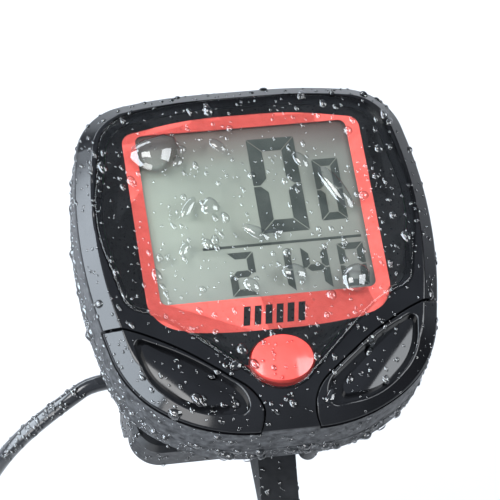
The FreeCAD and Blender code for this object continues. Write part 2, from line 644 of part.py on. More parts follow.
def cable_tube(name, route):
    """Round cable along straight runs joined by tangent arcs."""
    points = [Vector(*point) for point in route]
    edges, last, radii = [], points[0], []
    for before, here, after in zip(points, points[1:], points[2:]):
        back, ahead = before - here, after - here
        half_turn = (math.pi - back.getAngle(ahead)) / 2
        reach = 0.45 * min(back.Length, ahead.Length)
        radius = reach / math.tan(half_turn)
        back.normalize()
        ahead.normalize()
        start, end = here + back * reach, here + ahead * reach
        middle = here + (back + ahead).normalize() * (radius / math.cos(half_turn) - radius)
        edges.append(Part.LineSegment(last, start).toShape())
        edges.append(Part.Arc(start, middle, end).toShape())
        radii.append(round(radius, 1))
        last = end
    edges.append(Part.LineSegment(last, points[-1]).toShape())
    path = Part.Wire(edges)
    section = Part.Wire([Part.Circle(points[0], points[1] - points[0], CABLE_RADIUS).toShape()])
    tube = path.makePipeShell([section], True, False)
    expected = math.pi * CABLE_RADIUS ** 2 * path.Length
    print(name, "radii", radii, "length", round(path.Length, 1),
          "volume ratio", round(tube.Volume / expected, 4))
    return tube


def cable_coil():
    """Outer form of the wound turns: a ring in the plane across the handlebar."""
    y, z = COIL_CENTRE
    high = COIL_X + CABLE_RADIUS
    low = COIL_X - (COIL_TURNS_WIDE - 1) * 2 * CABLE_RADIUS - CABLE_RADIUS
    ring = rod_x(COIL_OUTER_TURN + CABLE_RADIUS, low, high, y, z)
    ring = ring.cut(rod_x(COIL_INNER_TURN - CABLE_RADIUS, low, high, y, z))
    return ring.makeFillet(0.8, ring.Edges)


def coil_tie():
    """Flat band round the turns, at the top of the coil."""
    y, z = COIL_CENTRE
    high = COIL_X + CABLE_RADIUS
    low = COIL_X - (COIL_TURNS_WIDE - 1) * 2 * CABLE_RADIUS - CABLE_RADIUS
    bottom, top = z + COIL_INNER_TURN - CABLE_RADIUS - 0.4, z + COIL_OUTER_TURN + CABLE_RADIUS + 0.1
    band = box((low - 0.8, high + 0.8), (y - 1.6, y + 1.6), (bottom - 0.7, top + 0.7))
    band = band.makeFillet(0.7, [edge for edge in band.Edges if edge.BoundBox.YLength > 1])
    return band.cut(box((low - 0.1, high + 0.1), (y - 2, y + 2), (bottom, top)))


def pod_box(margin, low, high):
    """Rounded block in the sensor's plan, inset by a margin."""
    x, y = TAIL_ROUTE[-1][0], TAIL_ROUTE[-1][1]
    half_x, half_y = POD_HALF[0] - margin, POD_HALF[1] - margin
    block = box((x - half_x, x + half_x), (y - half_y, y + half_y), (low, high))
    return block.makeFillet(2.6 - margin, [edge for edge in block.Edges if edge.BoundBox.ZLength > 1])


def sensor_housing():
    low = POD_TOP - POD_LENGTH
    x, y = TAIL_ROUTE[-1][0], TAIL_ROUTE[-1][1]
    shell = pod_box(0.0, low, POD_TOP)
    shell = shell.makeFillet(1.8, edges_at(shell, POD_TOP))
    neck = Part.makeCone(2.6, 1.9, 2.6, Vector(x, y, POD_TOP - 0.2), Vector(0, 0, 1))
    shell = shell.fuse(neck).cut(pod_box(POD_WALL, low, POD_TOP - 2.8))
    return shell.cut(post(x, y, CABLE_RADIUS + 0.05, POD_TOP - 4, POD_TOP + 4)).removeSplitter()


def sensor_cover():
    low = POD_TOP - POD_LENGTH
    plug = pod_box(POD_WALL + 0.05, low, low + 1.6)
    flange = pod_box(0.0, low - 1.2, low)
    return flange.fuse(plug).removeSplitter()


def reed_switch():
    x, y = TAIL_ROUTE[-1][0], TAIL_ROUTE[-1][1]
    middle = POD_TOP - POD_LENGTH / 2
    tube = post(x, y, 1.1, middle - 7, middle + 7)
    return tube.fuse(post(x, y, 0.3, middle - 10.5, middle + 10.5))


def sensor_pad():
    """Rubber pad on the side that lies against the fork."""
    x, y = TAIL_ROUTE[-1][0], TAIL_ROUTE[-1][1]
    side = x - POD_HALF[0]
    middle = POD_TOP - POD_LENGTH / 2
    return box((side - 1.2, side), (y - 4.2, y + 4.2), (middle - 12, middle + 12))


def build():
    os.makedirs("parts", exist_ok=True)
    lcd_mid = LCD_TOP - LCD_GLASS
    lcd_low = lcd_mid - LCD_GLASS
    coil = cable_coil()
    key = right_key()
    export("front_cover", front_cover())
    export("rear_cover", rear_cover())
    export("case_gasket", gasket_ring())
    export("case_screws", case_screws())
    export("window_lens", window_lens())
    export("window_print", print_layer(grown(WINDOW_WIRE, -1.4), BORDER_WIRE))
    export("screen_border", print_layer(BORDER_WIRE, SCREEN_WIRE))
    export("lcd_front_glass", lcd_plate(-9.0, lcd_mid, LCD_TOP))
    export("lcd_rear_glass", lcd_plate(-11.0, lcd_low, lcd_mid))
    export("lcd_reflector", lcd_plate(-9.0, lcd_low - PRINT_THICKNESS, lcd_low))
    export("lcd_holder", lcd_holder())
    export("zebra_strip", box((-16.0, 16.0), (-10.9, -9.3), (BOARD_TOP, lcd_low)))
    export("circuit_board", circuit_board())
    export("chip_blob", chip_blob())
    export("quartz_crystal", crystal())
    export("board_components", small_parts())
    export("dome_switches", dome_switches())
    export("key_seals", key_seals())
    export("battery_cell", battery_cell())
    export("battery_contact_top", top_contact())
    export("battery_contact_side", side_contact())
    export("head_contacts", head_contacts())
    export("contact_springs", contact_springs())
    export("right_key", key)
    export("left_key", mirror_x(key))
    export("centre_button", centre_button())
    export("battery_door", battery_door())
    export("battery_door_seal", seal_ring(DOOR_RADIUS + 0.05))
    export("mount_base", mount_base())
    export("saddle_pad", saddle_pad())
    export("cable_tie_left", cable_tie(-TIE_X))
    export("cable_tie_right", cable_tie(TIE_X))
    export("release_lever", release_lever())
    export("lever_pin", rod_x(0.8, -6.5, 6.5, *LEVER_PIVOT))
    export("bracket_contacts", bracket_contacts())
    export("cable_boot", cable_boot())
    export("sensor_cable", cable_tube("lead", LEAD_ROUTE).cut(coil))
    export("sensor_cable_coil", coil)
    export("sensor_cable_tail", cable_tube("tail", TAIL_ROUTE).cut(coil))
    export("coil_tie", coil_tie())
    export("sensor_housing", sensor_housing())
    export("sensor_cover", sensor_cover())
    export("reed_switch", reed_switch())
    export("sensor_pad", sensor_pad())


build()
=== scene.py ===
import json
import math
import random

import bmesh
import bpy
from mathutils import Matrix, Vector
from mathutils.bvhtree import BVHTree


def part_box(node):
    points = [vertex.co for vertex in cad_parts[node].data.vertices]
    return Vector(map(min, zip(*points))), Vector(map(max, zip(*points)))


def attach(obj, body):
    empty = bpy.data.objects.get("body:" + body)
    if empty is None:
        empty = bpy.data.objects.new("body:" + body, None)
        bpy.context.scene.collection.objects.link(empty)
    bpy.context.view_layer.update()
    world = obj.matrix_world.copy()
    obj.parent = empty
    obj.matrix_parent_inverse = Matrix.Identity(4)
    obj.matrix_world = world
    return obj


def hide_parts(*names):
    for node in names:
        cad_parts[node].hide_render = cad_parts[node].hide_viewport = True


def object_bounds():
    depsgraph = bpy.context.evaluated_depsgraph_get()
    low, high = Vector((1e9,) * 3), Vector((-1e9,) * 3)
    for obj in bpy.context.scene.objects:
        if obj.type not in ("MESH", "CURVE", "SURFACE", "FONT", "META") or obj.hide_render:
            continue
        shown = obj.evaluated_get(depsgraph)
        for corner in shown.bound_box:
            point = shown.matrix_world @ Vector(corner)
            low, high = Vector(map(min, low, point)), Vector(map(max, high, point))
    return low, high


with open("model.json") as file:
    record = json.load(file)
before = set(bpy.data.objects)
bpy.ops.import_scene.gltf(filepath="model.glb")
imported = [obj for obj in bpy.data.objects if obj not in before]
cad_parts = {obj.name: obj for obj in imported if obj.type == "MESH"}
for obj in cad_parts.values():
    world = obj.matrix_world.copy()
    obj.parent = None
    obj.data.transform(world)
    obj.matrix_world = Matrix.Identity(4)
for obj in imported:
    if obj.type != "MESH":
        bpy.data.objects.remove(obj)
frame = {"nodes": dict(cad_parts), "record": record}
CAD_LOW, CAD_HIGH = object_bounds()
MM = 0.001

# heights in metres: outer face of the window, front of the display, foot of the cover's bevel
FACE_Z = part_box("window_lens")[1][2]
SCREEN_TOP_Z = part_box("lcd_front_glass")[1][2]
BEVEL_DEPTH = 2.45 * MM
BEVEL_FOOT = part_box("front_cover")[1][2] - BEVEL_DEPTH
WALL_TILT = 0.35                    # faces whose normal's z is smaller than this belong to the side wall

# ---------------------------------------------------------------- sensor lead, in metres
CABLE_RADIUS = 0.00125
LEAD_ROUTE = [(-0.0160, -0.0106, 0.0165), (-0.0248, -0.0106, 0.0165), (-0.0288, -0.0126, 0.0153),
              (-0.0326, -0.0141, 0.0126), (-0.0366, -0.0159, 0.0093), (-0.0398, -0.0176, 0.0046),
              (-0.0426, -0.0194, -0.0025), (-0.0448, -0.0212, -0.0130), (-0.0457, -0.0220, -0.0254)]
TAIL_ROUTE = [(-0.0481, -0.0244, -0.0460), (-0.0486, -0.0240, -0.0536), (-0.0486, -0.0240, -0.0608)]
COIL_X = -0.0455                    # middle of its first turn
COIL_CENTRE = (-0.00825, -0.0380)   # y, z of its axis
COIL_INNER_TURN = 0.01375           # radii at the middle of the cord
COIL_OUTER_TURN = 0.01625
COIL_INNER_TURNS = 4
COIL_OUTER_TURNS = 3
COIL_ADVANCE = 4.2                  # diameters it would move along its axis on the way out
COIL_LAST_TURN = 4.0                # where that stops, in diameters
POINTS_PER_TURN = 24
WET_STRETCH = slice(1, 7)           # points of the route between which drops cling to the lead

# ---------------------------------------------------------------- display, in millimetres
SCREEN_X = (-16.0, 16.0)
SCREEN_Y = (-7.5, 20.5)
# digit, left, bottom, width, height, stroke
DIGITS = [("0", 0.6, 2.8, 7.2, 15.7, 2.1), ("0", 9.9, 4.1, 3.9, 10.2, 1.2)]
DIGITS += [(digit, -5.2 + 5.5 * place, -6.9, 3.9, 7.0, 1.05) for place, digit in enumerate("2140")]
SEGMENTS_OF = {"0": "abcdef", "1": "bc", "2": "abged", "4": "fgbc"}
SEGMENT_GAP = 0.11
DIVIDER = [(-8.5, 0.9), (15.2, 0.9), (15.2, 1.3), (-8.5, 1.3)]
SEGMENT_LOW = SCREEN_TOP_Z + 0.02 * MM
SEGMENT_HIGH = SCREEN_TOP_Z + 0.06 * MM

# slanted bars on the coral border, in millimetres
BAR_COUNT = 6
BAR_PITCH = 1.62
BAR_LEFT = -4.6
BAR_WIDTH = 1.0
BAR_SLANT = 0.55
BAR_BOTTOM, BAR_TOP = -11.9, -8.9
BAR_LOW = FACE_Z - 1.19 * MM
BAR_HIGH = FACE_Z - 1.16 * MM

# ---------------------------------------------------------------- water drops
# x, y, radius in millimetres, stretch and lean in degrees of the large drops on the face
LARGE_DROPS = [(-13.4, 16.8, 3.6, 0.85, 15), (-4.1, 17.2, 0.8, 1.8, 20), (-9.9, 7.4, 0.75, 2.6, -60),
               (-6.7, 7.2, 1.4, 1.0, 0), (-11.5, 0.7, 0.6, 2.2, -60), (-0.6, 2.4, 0.9, 2.6, 40),
               (1.6, 2.0, 0.7, 2.6, 75), (12.4, 8.6, 1.5, 2.4, 8), (12.9, -6.4, 2.2, 1.0, 0),
               (-10.4, 15.0, 0.8, 1.2, 0), (7.9, 13.6, 0.9, 1.7, 10), (-6.8, -18.3, 0.7, 1.5, -70),
               (5.9, -24.6, 0.6, 2.0, -50), (4.0, -4.6, 1.3, 1.5, 60), (-2.6, -6.0, 1.0, 1.3, 0)]
LARGE_DROP_HEIGHT = 0.42            # share of its radius
# name, CAD nodes, body, (count, smallest and largest radius in millimetres, most stretch), seed;
# all drops of the face ride on the head, also those that lie on the keys and the button
SMALL_DROPS = [
    ("drops_face", ["front_cover", "window_lens", "left_key", "right_key", "centre_button"], "head",
     [(1000, 0.13, 0.24, 1.4), (340, 0.24, 0.42, 1.8), (70, 0.45, 0.8, 1.5)], 11),
    ("drops_wall", ["rear_cover"], "head", [(1300, 0.13, 0.3, 1.3), (160, 0.4, 0.8, 1.2)], 12),
    ("drops_bracket", ["mount_base"], "bracket", [(500, 0.12, 0.4, 1.3)], 13),
    ("drops_lever", ["release_lever"], "release_lever", [(60, 0.1, 0.35, 1.5)], 14),
]
CABLE_DROPS = 150
CABLE_DROP_SEED = 15
CABLE_SKY = Vector((-0.3, -0.2, 1))     # side of the lead that the drops sit on
DROP_ACROSS = Vector((0.3, -0.8, 0.5))  # a stretched drop is longest at right angles to this
DROP_SIDES = 12
DROP_SINK = 0.02 * MM               # how far a drop's rim is tucked into the surface
OPEN_SPACE = 0.02                   # free room in front of a face that can get wet, in metres
OPEN_SPACE_START = 0.02 * MM        # how far off the face that room begins
TINY_AREA = 1e-12                   # triangles smaller than this are passed over

# ---------------------------------------------------------------- stage, in metres, watts and degrees
FLOOR_GAP = 0.012
FLOOR_HALF = 3.0
LIGHT_TARGET = Vector((0, 0, 0.03))
# a long window low on the left, one above it, one behind and soft fills in front:
# name, direction, distance, size, power, colour
LIGHTS = [
    ("left_window", (-0.94, 0.02, 0.34), 0.7, (1.15, 0.42), 13.5, (0.82, 0.91, 1)),
    ("left_high", (-0.47, 0.05, 0.88), 0.6, (0.30, 0.30), 2.2, (1, 1, 1)),
    ("back_window", (-0.36, 0.90, 0.24), 0.8, (0.5, 0.2), 2.0, (0.86, 0.93, 1)),
    ("front_fill", (-0.50, -0.80, 0.45), 0.9, (0.4, 0.4), 2.5, (1, 1, 1)),
    ("right_fill", (0.70, -0.05, 0.71), 0.6, (0.45, 0.45), 4.2, (0.92, 0.96, 1)),
]
SKY_STOPS = [(0.0, (0.42, 0.46, 0.52)), (0.75, (0.31, 0.35, 0.41))]
SKY_FADE = (0.1, 0.9, 1.0, 0.15)    # from and to of the direction's x, strength at each
CAMERA_PITCH, CAMERA_YAW, CAMERA_ROLL = -25, -11, -9.94
CAMERA_LENS = 197.7
CAMERA_DISTANCE = 0.4
CAMERA_TARGET = Vector((-1.95 * MM, -0.47 * MM, FACE_Z))


# ---------------------------------------------------------------- material tools
class Surface:
    """A node material: a Principled shader with helpers for procedural detail in object space."""

    def __init__(self, name):
        self.material = bpy.data.materials.new(name)
        self.material.use_nodes = True
        self.nodes = self.material.node_tree.nodes
        self.links = self.material.node_tree.links
        self.shader = self.nodes["Principled BSDF"]
        self.output = self.nodes["Material Output"]
        self.place = self.nodes.new("ShaderNodeTexCoord").outputs["Object"]

    def set(self, **values):
        """Plain numbers on the shader; an underscore stands for a space in the socket's name."""
        for key, value in values.items():
            self.shader.inputs[key.replace("_", " ")].default_value = value

    def noise(self, scale, detail):
        """Noise value; scale is features per metre."""
        node = self.nodes.new("ShaderNodeTexNoise")
        node.inputs["Scale"].default_value = scale
        node.inputs["Detail"].default_value = detail
        self.links.new(self.place, node.inputs["Vector"])
        return node.outputs["Fac"]

    def remap(self, value, low, high, to_low, to_high):
        """Value moved from one range to another, kept inside it."""
        node = self.nodes.new("ShaderNodeMapRange")
        for socket, number in zip(("From Min", "From Max", "To Min", "To Max"), (low, high, to_low, to_high)):
            node.inputs[socket].default_value = number
        self.links.new(value, node.inputs["Value"])
        return node.outputs["Result"]

    def ramp(self, value, *stops):
        """Colour ramp from (position, (r, g, b)) stops."""
        node = self.nodes.new("ShaderNodeValToRGB")
        elements = node.color_ramp.elements
        while len(elements) < len(stops):
            elements.new(0.5)
        for element, (position, colour) in zip(elements, stops):
            element.position = position
            element.color = (*colour, 1)
        self.links.new(value, node.inputs["Fac"])
        return node.outputs["Color"]

    def axis(self, name):
        """One coordinate of the place on the object."""
        node = self.nodes.new("ShaderNodeSeparateXYZ")
        self.links.new(self.place, node.inputs["Vector"])
        return node.outputs[name]

    def colour(self, output):
        self.links.new(output, self.shader.inputs["Base Color"])

    def roughness(self, output):
        self.links.new(output, self.shader.inputs["Roughness"])

    def bump(self, height, depth, strength):
        """Bump from a 0..1 height; depth is its height in metres."""
        node = self.nodes.new("ShaderNodeBump")
        node.inputs["Strength"].default_value = strength
        node.inputs["Distance"].default_value = depth
        self.links.new(height, node.inputs["Height"])
        self.links.new(node.outputs["Normal"], self.shader.inputs["Normal"])

    def fresnel(self, ior):
        node = self.nodes.new("ShaderNodeFresnel")
        node.inputs["IOR"].default_value = ior
        return node.outputs["Fac"]

    def mirror(self):
        node = self.nodes.new("ShaderNodeBsdfGlossy")
        node.inputs["Roughness"].default_value = 0.03
        return node

    def see_through(self, tint, share, mirror):
        """Swap the Principled shader for light that goes straight through, under a share of mirror."""
        self.nodes.remove(self.shader)
        straight = self.nodes.new("ShaderNodeBsdfTransparent")
        mix = self.nodes.new("ShaderNodeMixShader")
        self.links.new(tint, straight.inputs["Color"])
        self.links.new(share, mix.inputs["Fac"])
        self.links.new(straight.outputs["BSDF"], mix.inputs[1])
        self.links.new(mirror.outputs["BSDF"], mix.inputs[2])
        self.links.new(mix.outputs["Shader"], self.output.inputs["Surface"])


def plastic(name, dark, light, rough, grain, depth, settings):
    """Moulded plastic, or metal: two close colours, uneven roughness and a fine grain."""
    s = Surface(name)
    s.colour(s.ramp(s.noise(grain / 8, 4), (0.3, dark), (0.7, light)))
    s.roughness(s.remap(s.noise(grain / 3, 3), 0.3, 0.7, rough * 0.8, rough * 1.25))
    s.bump(s.noise(grain, 2), depth, 0.6)
    s.set(**settings)
    return s.material


def clear(name, tint, mirror_share):
    """Thin clear plate: light goes straight through, tinted; reflection grows at grazing angles.

    The angle is taken from the flat face, with a curve that is the same on both faces of a plate.
    """
    s = Surface(name)
    flat = s.nodes.new("ShaderNodeNewGeometry").outputs["True Normal"]
    dimmer = tuple(0.98 * value for value in tint)
    shade = s.ramp(s.noise(300, 2), (0.3, dimmer), (0.7, tint))
    mirror = s.mirror()
    s.links.new(s.remap(s.noise(900, 3), 0.3, 0.7, 0.02, 0.04), mirror.inputs["Roughness"])
    s.links.new(flat, mirror.inputs["Normal"])
    facing = s.nodes.new("ShaderNodeLayerWeight")
    facing.inputs["Blend"].default_value = 0.5
    s.links.new(flat, facing.inputs["Normal"])
    power = s.nodes.new("ShaderNodeMath")
    power.operation = "POWER"
    power.inputs[1].default_value = 5.0
    s.links.new(facing.outputs["Facing"], power.inputs[0])
    s.see_through(shade, s.remap(power.outputs["Value"], 0, 1, mirror_share, 1), mirror)
    return s.material


def lcd_film_painted_shade():
    """Grey-green face of the display, with a painted brown shadow of the border along its upper edge and
    painted shade that darkens it towards the right.
    """
    s = Surface("lcd_film_painted_shade")
    height = s.remap(s.axis("Y"), SCREEN_Y[0] * MM, SCREEN_Y[1] * MM, 0, 1)
    # painted shadow of the border: the colour turns darker and browner towards the upper edge
    base = s.ramp(height, (0.0, (0.31, 0.325, 0.28)), (0.5, (0.345, 0.37, 0.305)),
                  (0.78, (0.29, 0.31, 0.26)), (0.93, (0.205, 0.175, 0.15)), (1.0, (0.12, 0.08, 0.066)))
    # painted shade: a ramp across the display darkens its colour towards the right
    across = s.remap(s.axis("X"), SCREEN_X[0] * MM, SCREEN_X[1] * MM, 0, 1)
    shade = s.nodes.new("ShaderNodeVectorMath")
    shade.operation = "MULTIPLY"
    s.links.new(base, shade.inputs[0])
    s.links.new(s.ramp(across, (0.1, (1, 1, 1)), (1.0, (0.62, 0.58, 0.60))), shade.inputs[1])
    s.colour(shade.outputs["Vector"])
    s.roughness(s.remap(s.noise(6000, 2), 0.3, 0.7, 0.4, 0.55))
    s.bump(s.noise(9000, 2), 3e-6, 0.5)
    return s.material


def water():
    """Drops: see-through, with painted shade that darkens the steep rim in place of refraction, and the sharp
    reflections of a wet dome.
    """
    s = Surface("water")
    # painted shade: the see-through tint is darkened by a Fresnel value towards the steep rim
    shade = s.ramp(s.fresnel(1.6), (0.05, (0.97, 0.98, 0.98)), (0.12, (0.62, 0.64, 0.66)),
                   (0.3, (0.30, 0.32, 0.34)))
    s.see_through(shade, s.fresnel(2.0), s.mirror())
    return s.material


# name: dark and light colour, roughness, grain (per metre), its depth in metres, shader settings
PLASTICS = {
    "gloss_black": ((0.004, 0.0042, 0.005), (0.008, 0.0082, 0.0095), 0.12, 900, 2e-6,
                    {"Specular_IOR_Level": 0.5}),
    "matte_black": ((0.010, 0.0105, 0.0115), (0.019, 0.0195, 0.021), 0.36, 3600, 3e-5,
                    {"Specular_IOR_Level": 0.2}),
    "wall_plastic": ((0.011, 0.0115, 0.013), (0.078, 0.080, 0.084), 0.5, 6400, 6e-5,
                     {"Specular_IOR_Level": 0.14}),
    "print_black": ((0.003, 0.003, 0.0035), (0.005, 0.005, 0.006), 0.32, 7000, 2e-6, {}),
    "print_coral": ((0.86, 0.125, 0.10), (0.93, 0.15, 0.125), 0.32, 7000, 2e-6, {}),
    "segment_ink": ((0.035, 0.042, 0.036), (0.06, 0.068, 0.058), 0.4, 3000, 1e-6, {}),
    "button_red": ((0.78, 0.075, 0.06), (0.86, 0.10, 0.085), 0.2, 2200, 3e-6,
                   {"Coat_Weight": 0.4, "Coat_Roughness": 0.04,
                    "Subsurface_Weight": 0.08, "Subsurface_Scale": 0.001}),
    "lcd_reflector": ((0.42, 0.46, 0.4), (0.5, 0.54, 0.46), 0.4, 2500, 1e-5, {}),
    "white_plastic": ((0.62, 0.62, 0.6), (0.72, 0.72, 0.7), 0.45, 2500, 1e-5, {}),
    "rubber_black": ((0.012, 0.012, 0.012), (0.026, 0.026, 0.027), 0.7, 4000, 2e-5, {}),
    "cable_black": ((0.012, 0.0125, 0.014), (0.022, 0.023, 0.026), 0.16, 1500, 6e-6,
                    {"Coat_Weight": 0.5, "Coat_Roughness": 0.04}),
    "nylon_black": ((0.012, 0.012, 0.013), (0.022, 0.022, 0.024), 0.38, 1800, 8e-6, {}),
    "board_green": ((0.01, 0.1, 0.03), (0.02, 0.16, 0.05), 0.3, 1500, 1e-5, {}),
    "epoxy_black": ((0.005, 0.005, 0.005), (0.01, 0.01, 0.01), 0.15, 600, 1e-5, {}),
    "steel": ((0.45, 0.45, 0.46), (0.62, 0.62, 0.63), 0.3, 3000, 3e-6, {"Metallic": 1.0}),
    "contact_gold": ((0.75, 0.5, 0.18), (0.85, 0.62, 0.28), 0.25, 3000, 3e-6, {"Metallic": 1.0}),
}
# name: tint, share of light reflected head on
CLEAR_PLATES = {
    "window_clear": ((0.97, 0.98, 0.98), 0.035),
    "lcd_glass": ((0.8, 0.85, 0.78), 0.03),
    "reed_glass": ((0.6, 0.85, 0.75), 0.04),
}
MATERIALS = {slot: plastic(slot, *look) for slot, look in PLASTICS.items()}
MATERIALS.update({slot: clear(slot, *look) for slot, look in CLEAR_PLATES.items()})
MATERIALS["lcd_face"] = lcd_film_painted_shade()
WATER = water()


def dress_cad_nodes():
    """Each CAD node takes the procedural material of its slot; walls of the case are textured."""
    slots = {part["node"]: part["material_slot"] for part in frame["record"]["subparts"]}
    wall = MATERIALS["wall_plastic"]
    for name, node in frame["nodes"].items():
        node.data.materials.clear()
        node.data.materials.append(MATERIALS[slots[name]])
    mesh = frame["nodes"]["front_cover"].data
    mesh.materials.append(wall)
    for face in mesh.polygons:
        if abs(face.normal.z) < WALL_TILT and face.center.z < BEVEL_FOOT:
            face.material_index = 1
    frame["nodes"]["rear_cover"].data.materials[0] = wall


# ---------------------------------------------------------------- mesh tools
def mesh_object(name, bm, material):
    """Object from a finished bmesh, with one material."""
    mesh = bpy.data.meshes.new(name)
    bm.to_mesh(mesh)
    bm.free()
    mesh.materials.append(material)
    made = bpy.data.objects.new(name, mesh)
    bpy.context.scene.collection.objects.link(made)
    return made


def mesh_piece(name, bm, material, body):
    """Object that moves with a body of the frame."""
    piece = mesh_object(name, bm, material)
    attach(piece, body)
    return piece


def stage_drops(name, bm, body):
    """Smooth drops that move with a body but are stage dressing, not part of the object."""
    drops = mesh_piece(name, bm, WATER, body)
    drops.data.shade_smooth()


def add_plate(bm, outline, low, high):
    """Flat plate from a counter-clockwise outline in millimetres, between two heights in metres."""
    bottom = [bm.verts.new((x * MM, y * MM, low)) for x, y in outline]
    top = [bm.verts.new((x * MM, y * MM, high)) for x, y in outline]
    bm.faces.new(top)
    bm.faces.new(list(reversed(bottom)))
    count = len(outline)
    for i in range(count):
        j = (i + 1) % count
        bm.faces.new((bottom[i], bottom[j], top[j], top[i]))


# ---------------------------------------------------------------- display
def segment_outline(segment, width, height, stroke):
    """Outline of one mitred segment of a digit, from the digit's lower left corner."""
    mid, half, gap = height / 2, stroke / 2, SEGMENT_GAP
    top = [(gap, height), (stroke + gap, height - stroke), (width - stroke - gap, height - stroke),
           (width - gap, height)]
    upper = [(0, height - gap), (0, mid + gap), (half, mid + gap), (stroke, mid + half + gap),
             (stroke, height - stroke - gap)]
    middle = [(half + gap, mid), (stroke + gap, mid - half), (width - stroke - gap, mid - half),
              (width - half - gap, mid), (width - stroke - gap, mid + half), (stroke + gap, mid + half)]

    def flip_x(points):
        return [(width - x, y) for x, y in reversed(points)]

    def flip_y(points):
        return [(x, height - y) for x, y in reversed(points)]

    outlines = {"a": top, "d": flip_y(top), "f": upper, "e": flip_y(upper), "b": flip_x(upper),
                "c": flip_x(flip_y(upper)), "g": middle}
    return outlines[segment]


def add_digit(bm, digit, left, bottom, width, height, stroke):
    for segment in SEGMENTS_OF[digit]:
        outline = segment_outline(segment, width, height, stroke)
        outline = [(left + x, bottom + y) for x, y in outline]
        add_plate(bm, outline, SEGMENT_LOW, SEGMENT_HIGH)


def build_display():
    """The digits and their dividing line, as thin plates on the front of the display."""
    bm = bmesh.new()
    for digit in DIGITS:
        add_digit(bm, *digit)
    add_plate(bm, DIVIDER, SEGMENT_LOW, SEGMENT_HIGH)
    mesh_piece("lcd_segments", bm, MATERIALS["segment_ink"], "head")


def build_border_mark():
    """A plain row of slanted bars printed on the lower part of the coral border."""
    bm = bmesh.new()
    for index in range(BAR_COUNT):
        left = BAR_LEFT + BAR_PITCH * index
        right = left + BAR_WIDTH
        outline = [(left, BAR_BOTTOM), (right, BAR_BOTTOM),
                   (right + BAR_SLANT, BAR_TOP), (left + BAR_SLANT, BAR_TOP)]
        add_plate(bm, outline, BAR_LOW, BAR_HIGH)
    mesh_piece("border_mark", bm, MATERIALS["print_black"], "head")


# ---------------------------------------------------------------- sensor lead
def coil_points():
    """Seven wound turns: four side by side, then three back over them."""
    points = []
    y0, z0 = COIL_CENTRE
    pitch = 2 * CABLE_RADIUS
    inner_steps = COIL_INNER_TURNS * POINTS_PER_TURN
    outer_steps = COIL_OUTER_TURNS * POINTS_PER_TURN
    climb_steps = POINTS_PER_TURN / 4
    for step in range(inner_steps + outer_steps + 1):
        turn = 2 * math.pi * step / POINTS_PER_TURN
        if step <= inner_steps:
            climb = max(0.0, (step - inner_steps + climb_steps) / climb_steps)
            radius = COIL_INNER_TURN + (COIL_OUTER_TURN - COIL_INNER_TURN) * climb
            x = COIL_X - pitch * min(COIL_LAST_TURN, COIL_ADVANCE * step / inner_steps)
        else:
            radius = COIL_OUTER_TURN
            x = COIL_X - pitch * (COIL_LAST_TURN - COIL_OUTER_TURNS * (step - inner_steps) / outer_steps)
        points.append((x, y0 - radius * math.cos(turn), z0 - radius * math.sin(turn)))
    return points


def build_cable():
    """The whole lead as one cord, in place of its three CAD solids."""
    points = LEAD_ROUTE + coil_points() + TAIL_ROUTE
    curve = bpy.data.curves.new("sensor_lead", "CURVE")
    curve.dimensions = "3D"
    spline = curve.splines.new("NURBS")
    spline.points.add(len(points) - 1)
    for target, point in zip(spline.points, points):
        target.co = (*point, 1)
    spline.order_u = 3
    spline.use_endpoint_u = True
    spline.resolution_u = 6
    curve.bevel_depth = CABLE_RADIUS
    curve.bevel_resolution = 5
    curve.use_fill_caps = True
    cable = bpy.data.objects.new("sensor_lead", curve)
    bpy.context.scene.collection.objects.link(cable)
    curve.materials.append(MATERIALS["cable_black"])
    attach(cable, "bracket")
    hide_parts("sensor_cable", "sensor_cable_coil", "sensor_cable_tail")


# ---------------------------------------------------------------- water drops
def exposed_triangles(names):
    """Corners, normal and area of each triangle of some CAD nodes that faces open space."""
    vertices, faces = [], []
    for node in frame["nodes"].values():
        if node.hide_render:
            continue
        start = len(vertices)
        vertices += [v.co.copy() for v in node.data.vertices]
        faces += [[start + i for i in p.vertices] for p in node.data.polygons]
    tree = BVHTree.FromPolygons(vertices, faces)
    found = []
    for name in names:
        mesh = frame["nodes"][name].data
        mesh.calc_loop_triangles()
        for tri in mesh.loop_triangles:
            corners = [mesh.vertices[i].co for i in tri.vertices]
            centre = (corners[0] + corners[1] + corners[2]) / 3
            faces_down = tri.normal.z < -0.3
            if tri.area < TINY_AREA or faces_down:
                continue
            if tree.ray_cast(centre + tri.normal * OPEN_SPACE_START, tri.normal, OPEN_SPACE)[0] is None:
                found.append((corners, tri.normal.copy(), tri.area))
    return found


def add_drop(bm, centre, normal, radius, height, rng, stretch=1.0):
    """One drop: a domed cap with an uneven rim, its edge tucked into the surface."""
    side = normal.cross(DROP_ACROSS).normalized()
    down = normal.cross(side)
    oval, oval_turn = rng.uniform(0, 0.16), rng.uniform(0, 6.3)
    lobe, lobe_turn = rng.uniform(0, 0.1), rng.uniform(0, 6.3)
    rings = []
    for level in (0.0, 0.45, 0.8):
        spread, lift = math.cos(level * math.pi / 2), math.sin(level * math.pi / 2)
        ring = []
        for i in range(DROP_SIDES):
            angle = 2 * math.pi * i / DROP_SIDES
            reach = radius * spread * (1 + oval * math.cos(2 * angle + oval_turn)
                                       + lobe * math.cos(3 * angle + lobe_turn))
            offset = side * (reach * math.cos(angle)) + down * (reach * stretch * math.sin(angle))
            ring.append(bm.verts.new(centre + offset + normal * (height * lift - DROP_SINK)))
        rings.append(ring)
    top = bm.verts.new(centre + normal * height)
    for lower, upper in zip(rings, rings[1:]):
        for i in range(DROP_SIDES):
            j = (i + 1) % DROP_SIDES
            bm.faces.new((lower[i], lower[j], upper[j], upper[i]))
    for i in range(DROP_SIDES):
        bm.faces.new((rings[-1][i], rings[-1][(i + 1) % DROP_SIDES], top))


